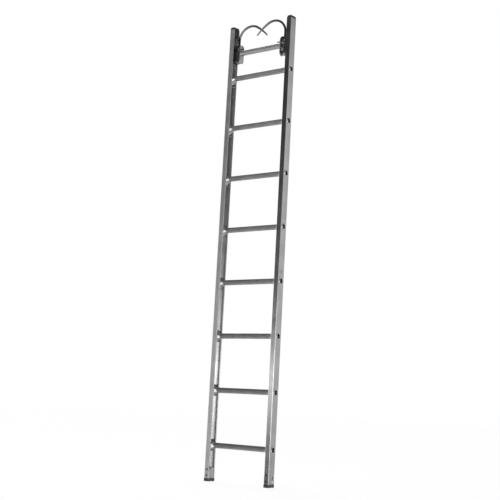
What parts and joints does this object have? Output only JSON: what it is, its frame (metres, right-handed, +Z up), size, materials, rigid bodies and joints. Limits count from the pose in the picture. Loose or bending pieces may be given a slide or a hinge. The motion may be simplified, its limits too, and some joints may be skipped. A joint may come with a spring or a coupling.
{
  "type": "roof ladder",
  "caption": "Straight single-section aluminium fire ladder with channel rails, round rungs and two folding, spring-loaded roof hooks at the tip.",
  "frame": {"origin": "midway between the two feet, on the surface they stand on", "axes": "+Z up the ladder along the rails, +X to the right of a climber facing it, +Y to the far (roof) side, where the opened hooks point"},
  "size_m": [0.5052, 0.0761, 3.099],
  "materials": {
    "rail_aluminium": "mill finish extrusion, satin",
    "rung_aluminium": "ridged extrusion, dull satin",
    "tube_aluminium": "drawn tube, satin",
    "cast_aluminium": "as-cast, matt",
    "plated_plate": "zinc plated, dull",
    "housing_casting": "dark cast, matt",
    "hook_steel": "forged bar, polished dark",
    "spring_steel": "drawn wire, oiled",
    "blackened_steel": "black oxide",
    "fastener_steel": "zinc plated",
    "rivet_aluminium": "bright",
    "spur_steel": "dark painted, worn",
    "cap_rubber": "black, matt"
  },
  "bodies": {
    "ladder": {"hook_tube": "tube_aluminium", "left_cheek_pin": "blackened_steel", "left_cheek_plate": "plated_plate", "left_cheek_screws": "fastener_steel", "left_foot_bolts": "blackened_steel", "left_foot_insert": "cast_aluminium", "left_foot_nuts": "fastener_steel", "left_foot_rivet": "rivet_aluminium", "left_hook_housing": "housing_casting", "left_hook_spring": "spring_steel", "left_housing_screws": "fastener_steel", "left_rail": "rail_aluminium", "left_rail_cap": "cap_rubber", "left_rung_blocks": "cast_aluminium", "left_rung_end_rings": "rung_aluminium", "left_spur": "spur_steel", "left_tube_collar": "tube_aluminium", "right_cheek_pin": "blackened_steel", "right_cheek_plate": "plated_plate", "right_cheek_screws": "fastener_steel", "right_foot_bolts": "blackened_steel", "right_foot_insert": "cast_aluminium", "right_foot_nuts": "fastener_steel", "right_foot_rivet": "rivet_aluminium", "right_hook_housing": "housing_casting", "right_hook_spring": "spring_steel", "right_housing_screws": "fastener_steel", "right_rail": "rail_aluminium", "right_rail_cap": "cap_rubber", "right_rung_blocks": "cast_aluminium", "right_rung_end_rings": "rung_aluminium", "right_spur": "spur_steel", "right_tube_collar": "tube_aluminium", "rung_1": "rung_aluminium", "rung_2": "rung_aluminium", "rung_3": "rung_aluminium", "rung_4": "rung_aluminium", "rung_5": "rung_aluminium", "rung_6": "rung_aluminium", "rung_7": "rung_aluminium", "rung_8": "rung_aluminium"},
    "left_hook_slider": {"left_thrust_washer": "fastener_steel"},
    "left_hook_arm": {"left_hook": "hook_steel", "left_index_pin": "fastener_steel", "left_hook_nut": "fastener_steel"},
    "right_hook_slider": {"right_thrust_washer": "fastener_steel"},
    "right_hook_arm": {"right_hook": "hook_steel", "right_index_pin": "fastener_steel", "right_hook_nut": "fastener_steel"}
  },
  "joints": [
    {"name": "left_hook_press", "type": "slide", "parent": "ladder", "child": "left_hook_slider", "axis": [0, 0, -1], "range_m": [0, 0.012], "stiffness_N_per_m": 2500, "springref_m": -0.012, "deforming": ["left_hook_spring"]},
    {"name": "left_hook_swing", "type": "hinge", "parent": "left_hook_slider", "child": "left_hook_arm", "pos_m": [-0.188, 0, 2.897], "axis": [0, 0, 1], "range_deg": [0, 87]},
    {"name": "right_hook_press", "type": "slide", "parent": "ladder", "child": "right_hook_slider", "axis": [0, 0, -1], "range_m": [0, 0.012], "stiffness_N_per_m": 2500, "springref_m": -0.012, "deforming": ["right_hook_spring"]},
    {"name": "right_hook_swing", "type": "hinge", "parent": "right_hook_slider", "child": "right_hook_arm", "pos_m": [0.188, 0, 2.897], "axis": [0, 0, -1], "range_deg": [0, 93]}
  ],
  "couplings": [
    {"joint": "right_hook_swing", "follows": "left_hook_swing", "ratio": 1.069}
  ]
}
